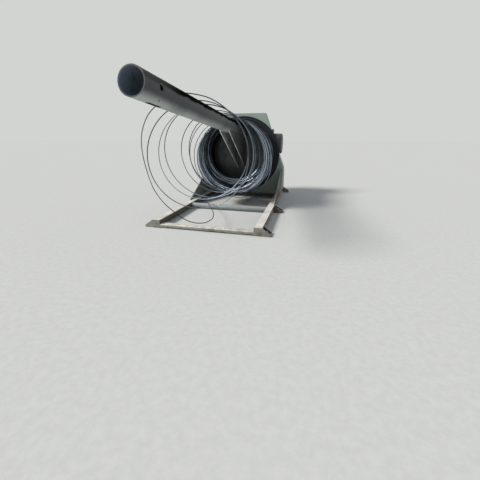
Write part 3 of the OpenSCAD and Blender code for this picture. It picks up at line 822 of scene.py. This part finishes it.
def loose_wire():
    """The free end and the loose turns as one wire."""
    segments, sides, step, join, spacing, dark_end = 96, 8, 0.02, 4, 60, 100
    turns = [(y + FRONT_Y, 0.0, r, yaw, lean, 0.0, 0.0) for y, r, yaw, lean in LOOSE]
    turned = wound(turns, segments)
    ends = [(x, y + FRONT_Y, z) for x, y, z in FREE_END]
    # the free end's curve runs a little way into the first turn
    line = smooth_line(ends + [tuple(turned[0]), tuple(turned[join])], step)[:-1]
    line = np.vstack([line, turned[join + 1:]])
    # the tone changes along the wire, and the free end is dark
    draw = random.Random(21)
    knots = np.arange(0, len(line) + spacing, spacing)
    shades = [draw.uniform(0.0, 0.1) if k < dark_end else draw.uniform(0.1, 0.7) for k in knots]
    tones = np.interp(np.arange(len(line)), knots, shades)
    wire = Shape()
    tube(wire, line, WIRE_R, sides, tones)
    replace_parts(wire.build("loose_wire", "wire_steel"), "front_loops", "rear_loops")


loose_wire()


# Welds

# Radii of the beads
BRACE_BEAD = 0.0038
GUSSET_BEAD = 0.0036
BAR_BEAD = 0.0034
FOOT_BEAD = 0.003
PIPE_BEAD = 0.005
# How far a bead's middle lies off what it runs along
OFF_PLATE = 0.001
OFF_PIPE = 0.0015
OFF_FRAME = 0.0005
# How far beads end before a corner
CLOSE, SHORT, WIDE = 0.003, 0.004, 0.006


def weld_braces(shape, side):
    """A brace to the pipe's underside and to the disc, on both its faces from left to right."""
    for x in sorted((side * (BRACE_IN - OFF_PLATE), side * (BRACE_OUT + OFF_PLATE))):
        drop = math.sqrt(PIPE_R**2 - x * x)
        w = np.linspace(SHORT, (DISC_FRONT - BRACE_Y) / math.cos(PIPE_SLOPE) - 0.02, 40)
        weld(shape, along_pipe(x, -drop - OFF_PIPE, w), BRACE_BEAD)
        y = DISC_FRONT - OFF_PIPE
        weld(shape, [(x, y, BRACE_Z + SHORT), (x, y, PIPE_ROOT_Z - 0.078)], BRACE_BEAD)


def weld_gusset(shape, side):
    """A gusset to its rail, outside and inside, and to the housing."""
    start, end = GUSSET_Y + 0.01, HOUSING_Y - SHORT
    x = side * (RAIL_OUT + OFF_FRAME)
    weld(shape, [(x, start, RAIL_TOP), (x, end, RAIL_TOP)], GUSSET_BEAD)
    x, z = side * (GUSSET_IN - OFF_FRAME), RAIL_TOP + OFF_PLATE
    weld(shape, [(x, start, z), (x, end, z)], GUSSET_BEAD)
    y = HOUSING_Y - OFF_PLATE
    weld(shape, [(x, y, RAIL_TOP + WIDE), (x, y, GUSSET_TOP - CLOSE)], GUSSET_BEAD)


def weld_bars(shape, side):
    """The front and rear bars to a rail."""
    x, z = side * RAIL_IN, BAR_TOP + OFF_FRAME
    for bar in ("front_bar", "rear_bar"):
        start, end = lowest(bar, Y) + WIDE, highest(bar, Y) - WIDE
        weld(shape, [(x, start, z), (x, end, z)], BAR_BEAD)


def weld_feet(shape, side):
    """The ribs of one side's feet to their base plates and to the rail."""
    inner, beside = side * (RAIL_OUT + SHORT), side * (RAIL_OUT + 0.0008)
    z = RAIL_Z + OFF_FRAME
    for front, rear, out in FEET:
        outer = side * (out - SHORT)
        for y in (front + RIB_T, rear - RIB_T):
            weld(shape, [(inner, y, z), (outer, y, z)], FOOT_BEAD)
            weld(shape, [(beside, y, RAIL_Z + CLOSE), (beside, y, RAIL_TOP - SHORT)], FOOT_BEAD)


def weld_pipe(shape):
    """The pipe to the disc, all round."""
    y, upright_r = DISC_FRONT - OFF_PLATE, PIPE_R / math.cos(PIPE_SLOPE)
    weld(shape, [(PIPE_R * math.cos(a), y, PIPE_ROOT_Z + upright_r * math.sin(a))
                 for a in np.linspace(0, 2 * math.pi, 73)], PIPE_BEAD)


welds = Shape()
for side in (-1, 1):
    weld_braces(welds, side)
    weld_gusset(welds, side)
    weld_bars(welds, side)
    weld_feet(welds, side)
weld_pipe(welds)
welds.build("weld_beads", "weld_paint")


# Fasteners

# Sizes of the bolts and radii of the rings they stand on
ANCHOR_BOLT = 0.018
BEARING_BOLT, BEARING_RING = 0.009, 0.164
SHAFT_BOLT, SHAFT_RING = 0.012, 0.102
GEAR_FOOT_BOLT, GEAR_FOOT_X = 0.012, 0.170
MOTOR_BOLT, MOTOR_RING, CAP_RING = 0.008, 0.130, 0.088
COVER_BOLT, COVER_ROW = 0.007, 0.088


def ring_place(radius, angle):
    """A place on a ring of bolts, before its centre is added."""
    return radius * math.cos(angle), radius * math.sin(angle)


def anchor_bolts():
    """A nut on a stud in every foot."""
    anchors = Shape()
    for side in (-1, 1):
        for front, rear, out in FEET:
            x, y = side * (RAIL_OUT + out) / 2, (front + rear) / 2
            bolt(anchors, (x, y, RAIL_Z), (0, 0, 1), ANCHOR_BOLT, stud=0.016)
    anchors.build("anchor_bolts", "bolt_steel")


def flange_bolts(shape):
    """The bolts of the bearing housing and of the shaft's rear flange."""
    for i in range(8):
        a = math.pi * (i + 0.5) / 4
        x, z = ring_place(BEARING_RING, a)
        bolt(shape, (x, BEARING_Y, AXIS_Z + z), (0, -1, 0), BEARING_BOLT)
        x, z = ring_place(SHAFT_RING, a)
        bolt(shape, (x, SHAFT_FLANGE_Y, AXIS_Z + z), (0, 1, 0), SHAFT_BOLT)


def drive_bolts(shape):
    """The bolts of the gearbox's foot, of the motor and of the cap across from it."""
    for side in (-1, 1):
        for y in (GEAR_Y + 0.04, DRIVE_Y, GEAR_BACK - 0.04):
            head = (side * GEAR_FOOT_X, y, BOX_TOP + GEAR_FOOT_T)
            bolt(shape, head, (0, 0, 1), GEAR_FOOT_BOLT)
    for i in range(8):
        a = 2 * math.pi * (i + 0.5) / 8
        y, z = ring_place(MOTOR_RING, a)
        bolt(shape, (NECK_X + NECK_L, DRIVE_Y + y, MOTOR_Z + z), (-1, 0, 0), MOTOR_BOLT)
        if i % 2 == 0:
            y, z = ring_place(CAP_RING, a)
            cap = (-NECK_X - GEAR_FOOT_T, DRIVE_Y + y, MOTOR_Z + z)
            bolt(shape, cap, (-1, 0, 0), MOTOR_BOLT)


def cover_screws(shape):
    """Two rows of screws in the lower box's rear cover."""
    for x in (-0.300, -0.100, 0.100, 0.300):
        for z in (COVER_Z - COVER_ROW, COVER_Z + COVER_ROW):
            bolt(shape, (x, COVER_Y, z), (0, 1, 0), COVER_BOLT)


anchor_bolts()
fasteners = Shape()
flange_bolts(fasteners)
drive_bolts(fasteners)
cover_screws(fasteners)
fasteners.build("machine_bolts", "bolt_steel")


# Edges of the plates and castings

SOFT_EDGES = {
    "housing_front": 0.0012, "housing_rear": 0.0012, "left_gusset": 0.0012, "right_gusset": 0.0012,
    "left_brace": 0.001, "right_brace": 0.001, "gearbox": 0.003, "terminal_box": 0.003,
    "bearing_housing": 0.002, "shaft_flange": 0.002, "rear_cover": 0.001, "nose_disc": 0.0012,
}
for name, width in SOFT_EDGES.items():
    node = NODES[name]
    join = node.modifiers.new("join", "WELD")
    join.merge_threshold = 1e-5
    soft = node.modifiers.new("soft_edges", "BEVEL")
    soft.width = width
    soft.segments = 2
    soft.limit_method = "ANGLE"
    soft.angle_limit = math.radians(35)
    soft.harden_normals = False


# Floor, light and camera

SKY = srgb(210, 212, 210)


def plain_floor():
    """A wide pale floor without shine."""
    mesh = bpy.data.meshes.new("floor")
    half = 60.0
    corners = [(-half, -half, 0), (half, -half, 0), (half, half, 0), (-half, half, 0)]
    mesh.from_pydata(corners, [], [(0, 1, 2, 3)])
    g = Graph("floor")
    fine = g.noise(30.0, 6.0, rough=0.7)
    colour = g.mix(g.ramp(fine, 0.3, 0.7), srgb(215, 215, 212), srgb(223, 223, 220))
    g.shader.inputs["Specular IOR Level"].default_value = 0.0
    g.finish(colour, 0.9)
    mesh.materials.append(g.material)
    floor = bpy.data.objects.new("floor", mesh)
    bpy.context.scene.collection.objects.link(floor)


def sun(name, towards, strength, angle, colour):
    """A sun that shines towards a direction; a wider angle softens its shadows."""
    data = bpy.data.lights.new(name, "SUN")
    data.energy, data.angle, data.color = strength, math.radians(angle), colour
    lamp = bpy.data.objects.new(name, data)
    lamp.rotation_euler = Vector(towards).to_track_quat("-Z", "Y").to_euler()
    bpy.context.scene.collection.objects.link(lamp)


def sky():
    """Soft daylight on the object; the camera and reflections see the plain pale background."""
    world = bpy.data.worlds.new("studio")
    world.use_nodes = True
    nodes, link = world.node_tree.nodes, world.node_tree.links.new
    light = nodes["Background"]
    light.inputs["Color"].default_value = (0.80, 0.86, 0.92, 1)
    light.inputs["Strength"].default_value = 0.38
    seen = nodes.new("ShaderNodeBackground")
    seen.inputs["Color"].default_value = SKY
    path = nodes.new("ShaderNodeLightPath")
    direct = path.outputs["Is Camera Ray"]
    for ray in ("Is Glossy Ray", "Is Transmission Ray"):
        either = nodes.new("ShaderNodeMath")
        either.operation = "MAXIMUM"
        link(direct, either.inputs[0])
        link(path.outputs[ray], either.inputs[1])
        direct = either.outputs[0]
    mix = nodes.new("ShaderNodeMixShader")
    for source, target in zip((direct, light.outputs[0], seen.outputs[0]), mix.inputs):
        link(source, target)
    link(mix.outputs[0], nodes["World Output"].inputs[0])
    bpy.context.scene.world = world


def camera():
    """The photo's camera, fitted to points of the frame, housing and pipe in its 480 pixels."""
    picture, focal, shift = 480, 273.52, -27
    data = bpy.data.cameras.new("camera")
    data.sensor_width, data.lens = 36.0, focal / picture * 36.0
    data.shift_y = shift / picture
    data.clip_end = 200
    cam = bpy.data.objects.new("camera", data)
    yaw, pitch, roll = math.radians(13.738), math.radians(-15.487), math.radians(-0.15)
    look = Matrix.Rotation(yaw, 3, "Z") @ Matrix.Rotation(pitch, 3, "X")
    look = look @ Matrix.Rotation(roll, 3, "Y")
    cam.rotation_euler = (look @ Matrix.Rotation(math.pi / 2, 3, "X")).to_euler()
    cam.location = (0.9396, FRONT_Y - 2.3865, 0.8975)
    bpy.context.scene.collection.objects.link(cam)
    bpy.context.scene.camera = cam


plain_floor()
sun("key", (0.66, 0.44, -0.60), 3.0, 16, (1.0, 0.98, 0.95))
sun("fill", (-0.70, 0.55, -0.45), 0.15, 60, (0.92, 0.96, 1.0))
sky()
camera()
bpy.context.scene.view_settings.view_transform = "Standard"
